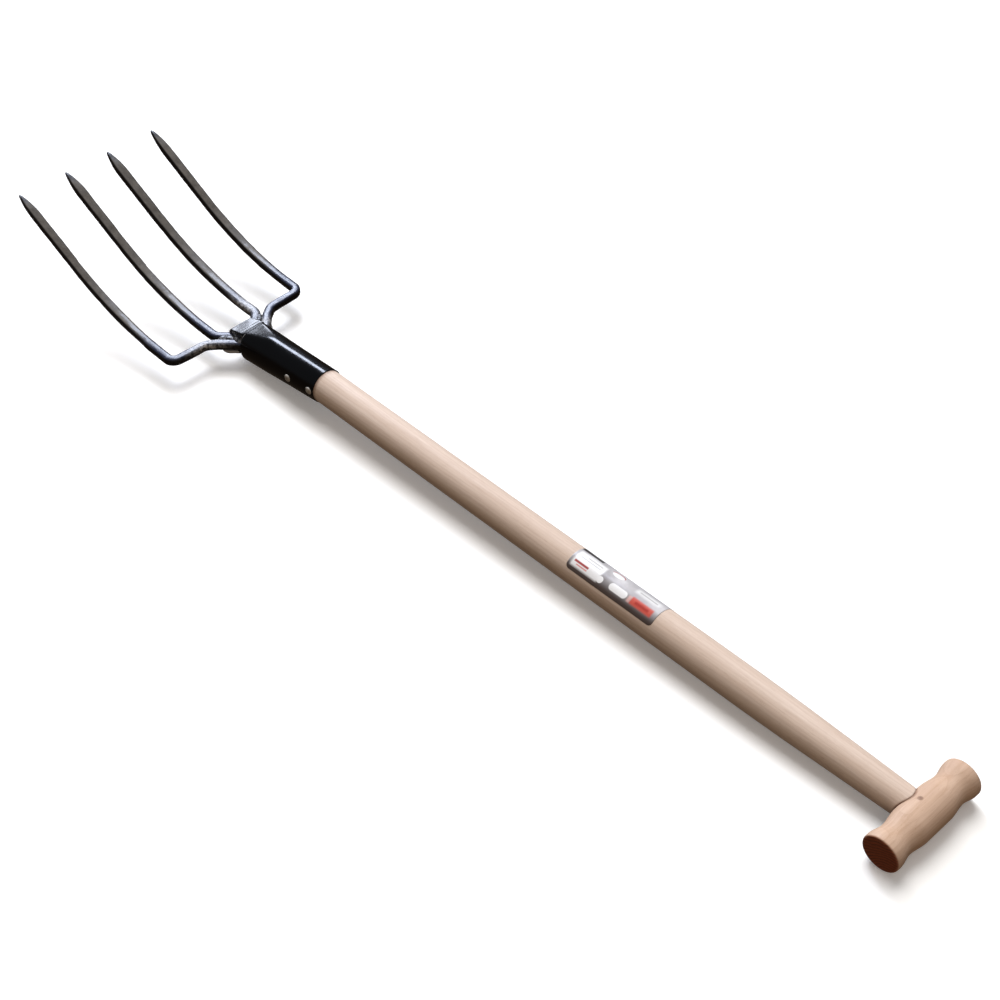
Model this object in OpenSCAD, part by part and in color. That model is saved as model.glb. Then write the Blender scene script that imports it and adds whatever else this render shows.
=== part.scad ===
// Four-tine digging fork: beech shaft and T-handle, pressed steel socket, four square forged bars.
//
// The tool is designed along its own axis: x = 0 on the T-handle's axis and z = 0 on the shaft's axis,
// with the tines towards +X and curving up towards +Z, and the tool's left side towards +Y.
// on_ground() then lays it down as it rests, on the T-handle's two ends and the heel of the socket,
// with the origin under the middle of its bounding box.

/* [Shaft] */
// Diameter of the straight part of the shaft
shaft_d = 36; // [34:0.5:38]
// Diameter of the shaft where it meets the T-handle
shaft_neck_d = 29; // [27:0.5:31]
// Length over which the shaft tapers towards the T-handle
taper_length = 160; // [120:5:220]
// Distance from the T-handle's axis to the mouth of the socket
shaft_reach = 752; // [600:4:900]

/* [T-handle] */
// Overall length of the T-handle
handle_length = 110; // [104:2:126]
// Diameter of the barrel in the middle, where the shaft enters
handle_barrel_d = 36.4; // [35.6:0.2:36.6]
// Diameter of the two hand grips at their narrowest
handle_waist_d = 31.6; // [30:0.2:33]
// Diameter of the flared ends
handle_end_d = 36.8; // [36.6:0.2:39]

/* [Socket] */
// Length of the socket from its mouth to its heel
socket_length = 120; // [110:2:140]
// Thickness of the sheet steel
sheet = 1.6; // [1.4:0.1:1.8]
// Outer diameter of the socket at its heel
heel_d = 43.6; // [42.6:0.2:44.6]
// How far the heel's centre lies below the shaft's axis
heel_drop = 10; // [8:0.5:11]
// Length of the flattened nose in front of the heel
nose_length = 24; // [20:1:26]
// Width of the flattened nose
nose_w = 33; // [30:0.5:34]

/* [Tines] */
// Width of a bar across the tool
bar_w = 9.4; // [8.6:0.1:9.6]
// Thickness of a bar
bar_t = 8.6; // [7.8:0.1:8.8]
// Distance of the outer tines' centre lines from the middle, at the shoulders
outer_y = 84.8; // [78:0.2:90]
// Distance of the inner tines' centre lines from the middle
inner_y = 27.4; // [25:0.2:30]
// How much further apart each outer tine is at its point
splay = 2.8; // [0:0.2:5]
// Radius of the tines' upward bend
bend_r = 325; // [280:5:360]
// Angle of the tines' upward bend
bend_angle = 28.5; // [25:0.5:33]
// Length of the straight stretch from the bend to the point
blade_length = 103.5; // [90:0.5:120]
// Length of the tapered point
point_length = 32; // [24:1:40]

/* [Label] */
// Distance from the T-handle's axis to the label's near edge
label_x = 287; // [200:1:400]
// Length of the label along the shaft
label_length = 106; // [80:1:120]

/* [Hidden] */

$fn = 64;

// Fits and small pieces
joint_gap = 0.3;         // between two bars that lie side by side
tenon_d = 19;            // round tenon on the shaft's end, glued into the T-handle
tenon_depth = 9;         // how far the tenon passes the T-handle's axis
nail_d = 2.8;
nail_head_d = 3.6;
nail_head_t = 1;
nail_reach = 12;         // how far the nail passes below the T-handle's axis
nail_lean = 16;          // the nail leans towards the shaft
rivet_d = 4.5;
rivet_head_d = 8.6;
rivet_head_t = 1.9;
rivet_front_x = 40;      // from the socket's mouth
rivet_rear_x = 6.5;
rivet_rear_z = 1.6;
rivet_front_z = -1.2;
label_t = 0.25;
label_from = 36;         // angles round the shaft, from +Y towards +Z
label_to = 205;

// Shaft
shaft_r = shaft_d / 2;
barrel_r = handle_barrel_d / 2;
insert_r = shaft_r - 0.6;        // the shaft's end, shaved to enter the socket
insert_grip = 34;                // straight part of that end
insert_length = 94;              // whole of that end
insert_tip_r = 11;

// T-handle
barrel_half = 15;                // half the length of the straight barrel
rim_r = 2.2;                     // rounding round the end faces
flare_length = 5;                // straight stretch of each flared end
waist_at = 35;                   // distance of each grip's narrowest place from the middle
profile_steps = 7;

// Socket
overlap = 5;                     // how far a solid runs on into the one it is joined to or cut from
mouth_x = shaft_reach;
heel_x = mouth_x + socket_length;
socket_r = insert_r + sheet;
heel_r = heel_d / 2;
crank_angle = atan2(heel_drop, socket_length);
heel_wall = 2.2;
top_cut = [heel_x - 27, 13.4];   // where the round top turns into the flat slope (x, z)
ridge = [heel_x + 6.5, 6.4];     // ridge between that slope and the nose's top
nose_tip_z = 1.4;                // top of the nose at its front edge
nose_back = 8;                   // how far the nose reaches back into the tube
slope_at_heel = ridge[1] + (ridge[0] - heel_x) * (top_cut[1] - ridge[1]) / (ridge[0] - top_cut[0]);
lip_t = 3;                       // lower lip, which spreads under the roots of the arms
lip_side = [                     // its left edge from above (x, y)
  [heel_x - 4, 19],
  [heel_x + 2, 24],
  [heel_x + 7, 29],
  [heel_x + 14, 32],
  [heel_x + 20, 30],
  [heel_x + 20, 24],
  [heel_x + 17, 17],
];

// Tines
bar_z = -7;                      // centre line of the bars where they leave the socket
bar_top = bar_z + bar_t / 2;
bar_bottom = bar_z - bar_t / 2;
arm_x = heel_x + 31;             // centre line of the cross arms
bend_x = arm_x + 7;             // where the upward bend starts
blade_x = bend_x + bend_r * sin(bend_angle);
blade_z = bar_z + bend_r * (1 - cos(bend_angle));
tip_x = blade_x + blade_length * cos(bend_angle);
tip_z = blade_z + blade_length * sin(bend_angle);
tip_half = 1.1;                  // half the width left at the very point
bar_end_x = heel_x - 20;         // the bars' ends inside the socket
root_inner = (bar_w + joint_gap) / 2;
root_outer = root_inner + bar_w + joint_gap;
bend_steps = 12;
corner_steps = 5;
shoulder_r = 9;                  // bend radius of the centre line at the shoulders
root_r = 14;                     // bend radius of the centre line near the socket

// Welds
seam_r = 5.8;
bead_r = 2.6;

// How the fork lies: the tilt that brings the T-handle's ends and the socket's heel to one level
heel_low = [
  mouth_x + socket_length * cos(crank_angle) - heel_r * sin(crank_angle),
  socket_length * sin(crank_angle) + heel_r * cos(crank_angle),
];
rest_z = handle_end_d / 2;
rest_tilt = atan2(heel_low[1], heel_low[0]) - asin(rest_z / norm(heel_low));
point_x = tip_x * cos(rest_tilt) - (tip_z - tip_half / cos(bend_angle)) * sin(rest_tilt);
middle_x = (point_x - barrel_r) / 2;

module on_ground() translate([-middle_x, 0, rest_z]) rotate([0, -rest_tilt, 0]) children();

// ---- Paths and outlines ----

function unit(v) = v / norm(v);

// Arc of radius r that rounds the corner b between a and c, as points
function corner(a, b, c, r) =
  let (
    u = unit(a - b),
    v = unit(c - b),
    half = acos(u * v) / 2,
    centre = b + unit(u + v) * r / sin(half),
    from = b + u * r / tan(half) - centre,
    to = b + v * r / tan(half) - centre,
    turn = 180 - 2 * half,
    side = sign(from[0] * to[1] - from[1] * to[0])
  )
  [for (i = [0 : corner_steps])
    let (t = side * turn * i / corner_steps)
    centre + [from[0] * cos(t) - from[1] * sin(t), from[0] * sin(t) + from[1] * cos(t)]];

// Open path through the points, each inner corner rounded with its own radius
function rounded_path(pts, radii) = [
  pts[0],
  for (i = [1 : len(pts) - 2]) each corner(pts[i - 1], pts[i], pts[i + 1], radii[i - 1]),
  pts[len(pts) - 1],
];

function heading(path, i) = unit(path[min(i + 1, len(path) - 1)] - path[max(i - 1, 0)]);

// Half width at a place this far from the point: full, then a slightly bulging taper
function taper(half, left) =
  left >= point_length ? half : tip_half + (half - tip_half) * sin(90 * left / point_length);

// Closed outline of a bar that follows the path with its point at the path's end
function band(path, half) =
  let (
    tip = path[len(path) - 1],
    halves = [for (p = path) taper(half, norm(tip - p))],
    sides = [for (i = [0 : len(path) - 1]) let (h = heading(path, i)) [-h[1], h[0]] * halves[i]]
  )
  concat(
    [for (i = [0 : len(path) - 1]) path[i] + sides[i]],
    [for (i = [len(path) - 1 : -1 : 0]) path[i] - sides[i]]
  );

// Last stretch of a path from a to its tip b, with points along the taper
function tip_run(a, b) =
  [for (s = [1, 0.66, 0.33, 0]) b + unit(a - b) * point_length * s];

// Centre line of every tine seen from the side (x, z)
side_path = concat(
  [[bar_end_x, bar_z]],
  [for (i = [0 : bend_steps])
    let (a = bend_angle * i / bend_steps)
    [bend_x + bend_r * sin(a), bar_z + bend_r * (1 - cos(a))]],
  tip_run([blade_x, blade_z], [tip_x, tip_z])
);

// Centre lines seen from above (x, y), for the left side
outer_corner = [arm_x, outer_y];
outer_tip = [tip_x, outer_y + splay];
outer_bends = rounded_path(
  [
    [bar_end_x, root_outer],
    [heel_x + 2, root_outer + 0.6],
    [heel_x + 21, 33],
    [arm_x - 1.5, 44],
    outer_corner,
    outer_tip,
  ],
  [root_r, root_r, root_r, shoulder_r]
);
inner_tip = [tip_x, inner_y + 0.2];
inner_bends = rounded_path(
  [
    [bar_end_x, root_inner],
    [heel_x + 2, root_inner + 0.6],
    [heel_x + 17, 12.5],
    [arm_x + 2, inner_y],
    inner_tip,
  ],
  [root_r, root_r * 2, root_r]
);

function with_point(bends, tip) =
  concat(
    [for (i = [0 : len(bends) - 2]) bends[i]],
    tip_run(bends[len(bends) - 2], tip)
  );

outer_path = with_point(outer_bends, outer_tip);
inner_path = with_point(inner_bends, inner_tip);

// Quarter-wave profile of the T-handle from its barrel to its end (radius, distance from middle)
function wave(from, to, t) = from + (to - from) * (1 - cos(180 * t)) / 2;

end_half = handle_length / 2;
flare_at = end_half - flare_length;
handle_side = concat(
  [for (i = [0 : profile_steps])
    let (t = i / profile_steps)
    [wave(barrel_r, handle_waist_d / 2, t), barrel_half + (waist_at - barrel_half) * t]],
  [for (i = [1 : profile_steps])
    let (t = i / profile_steps)
    [wave(handle_waist_d / 2, handle_end_d / 2, t), waist_at + (flare_at - waist_at) * t]],
  [for (i = [0 : corner_steps])
    let (a = 90 * i / corner_steps)
    [handle_end_d / 2 - rim_r * (1 - cos(a)), end_half - rim_r * (1 - sin(a))]]
);

// ---- Building blocks ----

// Cylinder or cone along +X
module rod(x0, x1, r0, r1) {
  translate([x0, 0, 0]) rotate([0, 90, 0]) cylinder(h = x1 - x0, r1 = r0, r2 = r1);
}

// Cylinder along Y, centred on y = 0
module cross_rod(x, z, r, length) {
  translate([x, 0, z]) rotate([90, 0, 0]) cylinder(h = length, r = r, center = true);
}

// Plate with an outline in the x-z plane, centred on y = 0
module side_plate(outline, width) {
  rotate([90, 0, 0]) translate([0, 0, -width / 2]) linear_extrude(height = width) polygon(outline);
}

// Turned solid along +X from an outline of (radius, x) points
module turned(outline) {
  rotate([0, 90, 0]) rotate_extrude() polygon(outline);
}

// Children carried from the shaft's axis to the socket's axis, which is cranked down at the mouth
module cranked() {
  translate([mouth_x, 0, 0]) rotate([0, crank_angle, 0]) translate([-mouth_x, 0, 0]) children();
}

// A square bar: the outline from above cut to the outline from the side
module bar(path) {
  plan_height = tip_z + 60;
  intersection() {
    translate([0, 0, bar_z - 20]) linear_extrude(height = plan_height) polygon(band(path, bar_w / 2));
    side_plate(band(side_path, bar_t / 2), 2 * (outer_y + 20));
  }
}

module left_or_right(side) {
  if (side > 0) children();
  else mirror([0, 1, 0]) children();
}

module all_bars() {
  for (side = [1, -1]) left_or_right(side) {
    bar(inner_path);
    bar(outer_path);
  }
}

// Horizontal weld bead from a to b (x, y) at height z, its ends drawn in by cones
module bead(a, b, z, r) {
  d = b - a;
  long = norm(d);
  translate([a[0], a[1], z]) rotate([0, 90, atan2(d[1], d[0])]) rotate_extrude()
    polygon([[0, -r / 2], [r / 2, -r / 2], [r, r / 3], [r, long - r / 3], [r / 2, long + r / 2], [0, long + r / 2]]);
}

// Radius of the tube this far from its mouth
function tube_r(x) = socket_r + (heel_r - socket_r) * x / socket_length;

module rivet_shank(x, z) {
  cross_rod(mouth_x + x, z, rivet_d / 2, 2 * tube_r(x) + 1);
}

// ---- Wooden pieces ----

module shaft_solid() {
  difference() {
    union() {
      rod(0, taper_length, shaft_neck_d / 2 - 0.4, shaft_r);
      rod(taper_length, mouth_x, shaft_r, shaft_r);
      cranked() turned([
        [0, mouth_x - overlap],
        [insert_r, mouth_x - overlap],
        [insert_r, mouth_x + insert_grip],
        [insert_tip_r, mouth_x + insert_length],
        [0, mouth_x + insert_length],
      ]);
    }
    cross_rod(0, 0, barrel_r, 3 * barrel_r);
  }
  rod(-tenon_depth, barrel_r + 4, tenon_d / 2, tenon_d / 2);
}

module shaft() color([0.80, 0.70, 0.60]) on_ground() difference() {
  shaft_solid();
  nail_solid();
  rivet_shank(rivet_front_x, rivet_front_z);
  rivet_shank(rivet_rear_x, rivet_rear_z);
}

module t_handle_blank() {
  rotate([-90, 0, 0]) rotate_extrude() polygon(concat(
    [[0, -end_half]],
    [for (i = [len(handle_side) - 1 : -1 : 0]) [handle_side[i][0], -handle_side[i][1]]],
    handle_side,
    [[0, end_half]]
  ));
}

module t_handle() color([0.76, 0.60, 0.45]) on_ground() difference() {
  t_handle_blank();
  rod(-tenon_depth, barrel_r + 4, tenon_d / 2, tenon_d / 2);
  nail_solid();
}

module nail_solid() rotate([0, nail_lean, 0]) {
  translate([0, 0, -nail_reach]) cylinder(h = nail_reach + barrel_r - nail_head_t, d = nail_d, $fn = 32);
  translate([0, 0, barrel_r - nail_head_t - 0.3]) cylinder(h = nail_head_t, d = nail_head_d, $fn = 32);
}

module handle_nail() color([0.35, 0.33, 0.31]) on_ground() nail_solid();

// ---- Socket ----

// Everything above the slope from the round top to the ridge and on down the nose, lowered by depth
module above_slope(depth) {
  side_plate([
    [top_cut[0] - 20, top_cut[1] + 20 * (top_cut[1] - ridge[1]) / (ridge[0] - top_cut[0]) - depth],
    [ridge[0], ridge[1] - depth],
    [heel_x + nose_length, nose_tip_z - depth],
    [heel_x + nose_length, 60],
    [top_cut[0] - 20, 60],
  ], 3 * heel_d);
}

// The nose: the sheet pressed flat over the bars, its inside filled with weld metal
module nose() {
  side_plate([
    [heel_x - nose_back, bar_bottom],
    [heel_x + nose_length, bar_bottom],
    [heel_x + nose_length, nose_tip_z],
    [ridge[0], ridge[1]],
    [heel_x, slope_at_heel],
    [heel_x - nose_back, slope_at_heel - 4.8],
  ], nose_w);
}

module lower_lip() {
  translate([0, 0, bar_bottom - lip_t]) linear_extrude(height = lip_t) polygon(concat(
    lip_side,
    [for (i = [len(lip_side) - 1 : -1 : 0]) [lip_side[i][0], -lip_side[i][1]]]
  ));
}

// The round tube, widening from its mouth to its heel
module tube() {
  difference() {
    cranked() rod(mouth_x - overlap, heel_x, tube_r(-overlap), heel_r);
    translate([mouth_x - 30, -30, -30]) cube([30, 60, 60]);
  }
}

module socket_outside() {
  difference() {
    tube();
    above_slope(0);
  }
  nose();
  lower_lip();
}

module socket_inside() {
  difference() {
    cranked() turned([
      [0, mouth_x - 2 * overlap],
      [insert_r, mouth_x - 2 * overlap],
      [insert_r, mouth_x + insert_grip],
      [heel_r - sheet, heel_x - heel_wall],
      [0, heel_x - heel_wall],
    ]);
    above_slope(heel_wall);
  }
}

module socket() color([0.05, 0.05, 0.06]) on_ground() difference() {
  socket_outside();
  socket_inside();
  all_bars();
  rivet_shank(rivet_front_x, rivet_front_z);
  rivet_shank(rivet_rear_x, rivet_rear_z);
}

// ---- Rivets: a shank through socket and shaft, with a domed head on each side ----

module rivet_dome() {
  dome_r = (rivet_head_d * rivet_head_d / 4 + rivet_head_t * rivet_head_t) / (2 * rivet_head_t);
  intersection() {
    translate([0, 0, rivet_head_t - dome_r]) sphere(r = dome_r);
    translate([0, 0, -1.5]) cylinder(h = rivet_head_t + 2, d = rivet_head_d);
  }
}

module rivet(x, z) {
  difference() {
    union() {
      rivet_shank(x, z);
      for (side = [1, -1]) left_or_right(side)
        translate([mouth_x + x, tube_r(x) - 0.2, z]) rotate([-90, 0, 0]) rivet_dome();
    }
    difference() {
      tube();
      rivet_shank(x, z);
    }
  }
}

module rivet_front() color([0.62, 0.60, 0.56]) on_ground() rivet(rivet_front_x, rivet_front_z);
module rivet_rear() color([0.62, 0.60, 0.56]) on_ground() rivet(rivet_rear_x, rivet_rear_z);

// ---- Tines ----

module tine(path, side) color([0.20, 0.19, 0.19]) on_ground() left_or_right(side) bar(path);

module tine_outer_left() tine(outer_path, 1);
module tine_inner_left() tine(inner_path, 1);
module tine_inner_right() tine(inner_path, -1);
module tine_outer_right() tine(outer_path, -1);

// ---- Weld beads ----

// Along the seam between an inner tine and the arm beside it, standing proud above and below
module seam_bead() bead([heel_x + 15, 17.5], [heel_x + 25, 26.2], bar_z, seam_r);

module weld_seam(side) color([0.30, 0.29, 0.29]) on_ground() left_or_right(side) difference() {
  seam_bead();
  bar(inner_path);
  bar(outer_path);
  nose();
  lower_lip();
}

// Along the side of the nose, on top of the bars
module weld_nose(side) color([0.30, 0.29, 0.29]) on_ground() left_or_right(side) difference() {
  bead([heel_x + 2, nose_w / 2 + 0.4], [heel_x + 10, nose_w / 2 + 0.4], bar_top + 0.6, bead_r);
  bar(inner_path);
  bar(outer_path);
  nose();
}

// Under the heel, where the lower lip meets the end wall
module weld_heel() color([0.30, 0.29, 0.29]) on_ground() difference() {
  bead([heel_x + 1, -12], [heel_x + 1, 12], bar_bottom - lip_t - 0.6, bead_r);
  socket_outside();
}

module weld_seam_left() weld_seam(1);
module weld_seam_right() weld_seam(-1);
module weld_nose_left() weld_nose(1);
module weld_nose_right() weld_nose(-1);

// ---- Label: a thin film round the upper part of the shaft ----

module label() color([0.78, 0.78, 0.80]) on_ground() {
  translate([label_x, 0, 0]) rotate([90, 0, 90]) rotate([0, 0, label_from])
    rotate_extrude(angle = label_to - label_from)
      translate([shaft_r, 0]) square([label_t, label_length]);
}

shaft();
t_handle();
handle_nail();
socket();
rivet_front();
rivet_rear();
tine_outer_left();
tine_inner_left();
tine_inner_right();
tine_outer_right();
weld_seam_left();
weld_seam_right();
weld_nose_left();
weld_nose_right();
weld_heel();
label();
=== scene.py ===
import math

import bpy
import numpy as np
from mathutils import Matrix, Vector, noise


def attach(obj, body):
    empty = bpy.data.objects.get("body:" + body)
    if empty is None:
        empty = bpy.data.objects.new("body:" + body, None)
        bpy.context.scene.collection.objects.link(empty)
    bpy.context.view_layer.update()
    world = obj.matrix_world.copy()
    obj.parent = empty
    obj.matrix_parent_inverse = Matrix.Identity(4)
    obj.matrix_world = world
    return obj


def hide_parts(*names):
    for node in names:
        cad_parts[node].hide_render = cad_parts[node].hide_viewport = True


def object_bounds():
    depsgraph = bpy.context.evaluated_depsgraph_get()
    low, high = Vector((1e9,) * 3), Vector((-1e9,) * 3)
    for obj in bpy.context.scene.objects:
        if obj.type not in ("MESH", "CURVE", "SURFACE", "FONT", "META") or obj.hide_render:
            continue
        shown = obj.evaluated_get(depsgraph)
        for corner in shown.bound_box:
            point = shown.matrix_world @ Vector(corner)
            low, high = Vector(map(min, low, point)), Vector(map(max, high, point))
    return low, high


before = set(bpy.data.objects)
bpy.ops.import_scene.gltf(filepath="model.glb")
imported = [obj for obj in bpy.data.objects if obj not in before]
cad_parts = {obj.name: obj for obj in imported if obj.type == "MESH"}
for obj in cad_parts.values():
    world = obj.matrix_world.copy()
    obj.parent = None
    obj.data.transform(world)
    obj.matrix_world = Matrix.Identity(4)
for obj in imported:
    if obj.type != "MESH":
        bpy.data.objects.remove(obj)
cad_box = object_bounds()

# Sizes in millimetres in the design frame: x = 0 on the T-handle's axis, z = 0 on the shaft's
# axis, +X to the tines and +Z to the side that the tines curve to.

# Shaft: straight part, neck at the T-handle, tenon, and tapered end inside the socket
SHAFT_R, NECK_R, TAPER = 18.0, 14.1, 160.0
TENON_R, TENON = 9.5, 8.5
INSERT_R, INSERT_END_R, INSERT, INSERT_TAPER = 17.4, 11.0, 94.0, 60.0

# T-handle: radii and half lengths of barrel, waist and flared end, and the rounding of its rim
BARREL_R, BARREL = 18.2, 15.0
WAIST_R, WAIST = 15.8, 35.0
END_R, HALF, RIM_R = 18.4, 55.0, 2.2

# Socket: mouth and heel, how far its axis drops between them, its sheet and its nose
MOUTH, HEEL, DROP = 752.0, 872.0, 10.0
SOCKET = HEEL - MOUTH
CRANK = math.atan2(DROP, SOCKET)
SOCKET_R, HEEL_R, HEEL_EDGE, SHEET = 19.0, 21.8, 2.8, 1.6
TOP_CUT, RIDGE = (845.0, 13.4), (878.5, 6.4)
NOSE, NOSE_W, TIP_Z = 24.0, 33.0, 1.4

# Rivets: place along the socket from its mouth, height, and seed of the hammered head
RIVETS = {"rivet_front": (40.0, -1.2, 3.0), "rivet_rear": (6.5, 1.6, 9.0)}
RIVET_HEAD_R = 4.28

# Tines: section, height of the roots, spacing, bend, straight blade and point
BAR_W, BAR_T, BAR_Z = 9.4, 8.6, -7.0
OUTER_Y, INNER_Y, SPLAY = 84.8, 27.4, 2.8
BEND_R, BEND, BLADE = 325.0, math.radians(28.5), 103.5
POINT, POINT_R = 32.0, 1.1
ARM_X = HEEL + 31
BEND_X = ARM_X + 7
BLADE_X = BEND_X + BEND_R * math.sin(BEND)
BLADE_Z = BAR_Z + BEND_R * (1 - math.cos(BEND))
TIP = (BLADE_X + BLADE * math.cos(BEND), BLADE_Z + BLADE * math.sin(BEND))
BAR_TOP, BAR_BOTTOM = BAR_Z + BAR_T / 2, BAR_Z - BAR_T / 2

# Label: near edge, length, and the angles round the shaft that it covers
LABEL_X, LABEL = 287.0, 106.0
LABEL_FROM, LABEL_TO = math.radians(36), math.radians(205)

# The fork lies on the T-handle's ends and the lowest point of its heel.
LOW = (
    MOUTH + SOCKET * math.cos(CRANK) - HEEL_R * math.sin(CRANK),
    SOCKET * math.sin(CRANK) + HEEL_R * math.cos(CRANK),
)
TILT = math.atan2(LOW[1], LOW[0]) - math.asin(END_R / math.hypot(*LOW))
POINT_X = TIP[0] * math.cos(TILT) - (TIP[1] - POINT_R / math.cos(BEND)) * math.sin(TILT)
MIDDLE = (POINT_X - BARREL_R) / 2


def tilted(x, z):
    """x and z turned by the lean of the fork on the floor."""
    c, s = math.cos(TILT), math.sin(TILT)
    return x * c - z * s, x * s + z * c


def place(p):
    """Design millimetres to the row frame's metres."""
    p = np.asarray(p, float).reshape(-1, 3)
    x, z = tilted(p[:, 0], p[:, 2])
    return np.c_[x - MIDDLE, p[:, 1], z + END_R] / 1000


def direction(v):
    """A direction in the design frame, turned to the row frame."""
    x, z = tilted(v[0], v[2])
    return Vector((x, v[1], z))


def crank(p):
    """From the socket's own axis, measured from its mouth, to the design frame."""
    c, s = math.cos(CRANK), math.sin(CRANK)
    return np.c_[MOUTH + p[:, 0] * c + p[:, 2] * s, p[:, 1], -p[:, 0] * s + p[:, 2] * c]


def bumps(p, size, seed=0.0, octaves=3):
    """Smooth noise of about -1 to 1 at each point, with features of about this size in mm."""
    shift = Vector((seed, seed * 1.7, -seed))
    return np.array([noise.fractal(Vector(q) / size + shift, 1.0, 2.0, octaves) for q in p])


def smooth(t):
    """0 below 0, 1 above 1, and an S-shaped step between."""
    t = np.clip(t, 0, 1)
    return t * t * (3 - 2 * t)


def unit(v):
    """Each row at length 1."""
    return v / np.maximum(np.linalg.norm(v, axis=-1, keepdims=True), 1e-6)


# ---- Meshes ----


def add(name, node, slot, mat, points, faces, **values):
    """A visible piece in place of a node. values are numbers per point, for its material."""
    mesh = bpy.data.meshes.new(name)
    mesh.from_pydata([tuple(v) for v in place(points)], [], faces)
    mesh.validate()
    for key, value in values.items():
        a = mesh.attributes.new(key, "FLOAT", "POINT")
        a.data.foreach_set("value", np.asarray(value, np.float32))
    mesh.shade_smooth()
    mesh.materials.append(mat)
    o = bpy.data.objects.new(name, mesh)
    bpy.context.scene.collection.objects.link(o)
    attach(o, "root")
    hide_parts(node)


def skin(rings, first=0):
    """Faces of a closed tube through equal rings, with one polygon at each end."""
    m, n = len(rings), len(rings[0])
    faces = []
    for i in range(m - 1):
        a, b = first + i * n, first + (i + 1) * n
        faces += [(a + j, a + (j + 1) % n, b + (j + 1) % n, b + j) for j in range(n)]
    faces.append(tuple(first + j for j in range(n - 1, -1, -1)))
    faces.append(tuple(first + (m - 1) * n + j for j in range(n)))
    return faces


def capped(rings, steps, first_steps=None, shift=(0, 0, 0)):
    """The rings and smaller ones that close each end. shift moves the middle of the last end."""
    a, b = rings[0].mean(0), rings[-1].mean(0) + shift
    head = [a + (rings[0] - a) * s for s in (first_steps or steps)[::-1]]
    return head + rings + [b + (rings[-1] - b) * s for s in steps]


def circle(n):
    return np.arange(n) * 2 * math.pi / n


def lathe(profile, axis, n):
    """Rings of n points round the x or y axis from (place along it, radius) pairs."""
    t = circle(n)
    if axis == "x":
        return [np.c_[np.full(n, s), r * np.cos(t), r * np.sin(t)] for s, r in profile]
    return [np.c_[r * np.sin(t), np.full(n, s), r * np.cos(t)] for s, r in profile]


# ---- Materials ----


def lin(r, g, b):
    """A linear colour from sRGB values of 0 to 255."""
    return tuple(((c / 255 + 0.055) / 1.055) ** 2.4 if c > 10 else c / 255 / 12.92 for c in (r, g, b)) + (1,)


def tint(color, r, g, b):
    """A linear colour with each channel multiplied."""
    return (color[0] * r, color[1] * g, color[2] * b, 1)


class Shader:
    """A node material, with short calls for the nodes used here."""

    def __init__(self, name, **fixed):
        self.mat = bpy.data.materials.new(name)
        self.mat.use_nodes = True
        self.nt = self.mat.node_tree
        self.bsdf = self.nt.nodes["Principled BSDF"]
        for key, value in fixed.items():
            self.bsdf.inputs[key.replace("_", " ")].default_value = value
        self.pos = self.node("TexCoord").outputs["Object"]

    def node(self, kind, **inputs):
        n = self.nt.nodes.new("ShaderNode" + kind)
        for key, value in inputs.items():
            self.put(n.inputs[key], value)
        return n

    def put(self, socket, value):
        if isinstance(value, bpy.types.NodeSocket):
            self.nt.links.new(value, socket)
        else:
            socket.default_value = value

    def noise(self, scale, detail=4.0, rough=0.5, shift=(0, 0, 0)):
        """Noise with this many features a metre, the same or different on each axis."""
        scale = scale if isinstance(scale, tuple) else (scale,) * 3
        at = self.node("Mapping", Vector=self.pos, Scale=scale, Location=shift).outputs[0]
        return self.node("TexNoise", Vector=at, Scale=1.0, Detail=detail, Roughness=rough).outputs["Fac"]

    def math(self, op, a, b=0.0):
        n = self.nt.nodes.new("ShaderNodeMath")
        n.operation = op
        self.put(n.inputs[0], a)
        self.put(n.inputs[1], b)
        return n.outputs[0]

    def mul(self, a, b):
        return self.math("MULTIPLY", a, b)

    def plus(self, a, b):
        return self.math("ADD", a, b)

    def length(self, a, b):
        return self.math("SQRT", self.plus(self.mul(a, a), self.mul(b, b)))

    def span(self, value, a, b, lo=0.0, hi=1.0):
        """lo at a and hi at b, with a straight ramp between and no change beyond."""
        n = self.node("MapRange", Value=value)
        for key, v in (("From Min", a), ("From Max", b), ("To Min", lo), ("To Max", hi)):
            n.inputs[key].default_value = v
        return n.outputs[0]

    def mix(self, fac, a, b):
        n = self.nt.nodes.new("ShaderNodeMix")
        n.data_type = "RGBA"
        for s, v in ((0, fac), (6, a), (7, b)):
            self.put(n.inputs[s], v)
        return n.outputs[2]

    def attr(self, name):
        n = self.nt.nodes.new("ShaderNodeAttribute")
        n.attribute_name = name
        return n.outputs["Fac"]

    def bump(self, height, distance, strength):
        return self.node("Bump", Height=height, Strength=strength, Distance=distance).outputs[0]

    def finish(self, color, rough=None, normal=None):
        for key, v in (("Base Color", color), ("Roughness", rough), ("Normal", normal)):
            if v is not None:
                self.put(self.bsdf.inputs[key], v)
        return self.mat


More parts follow.
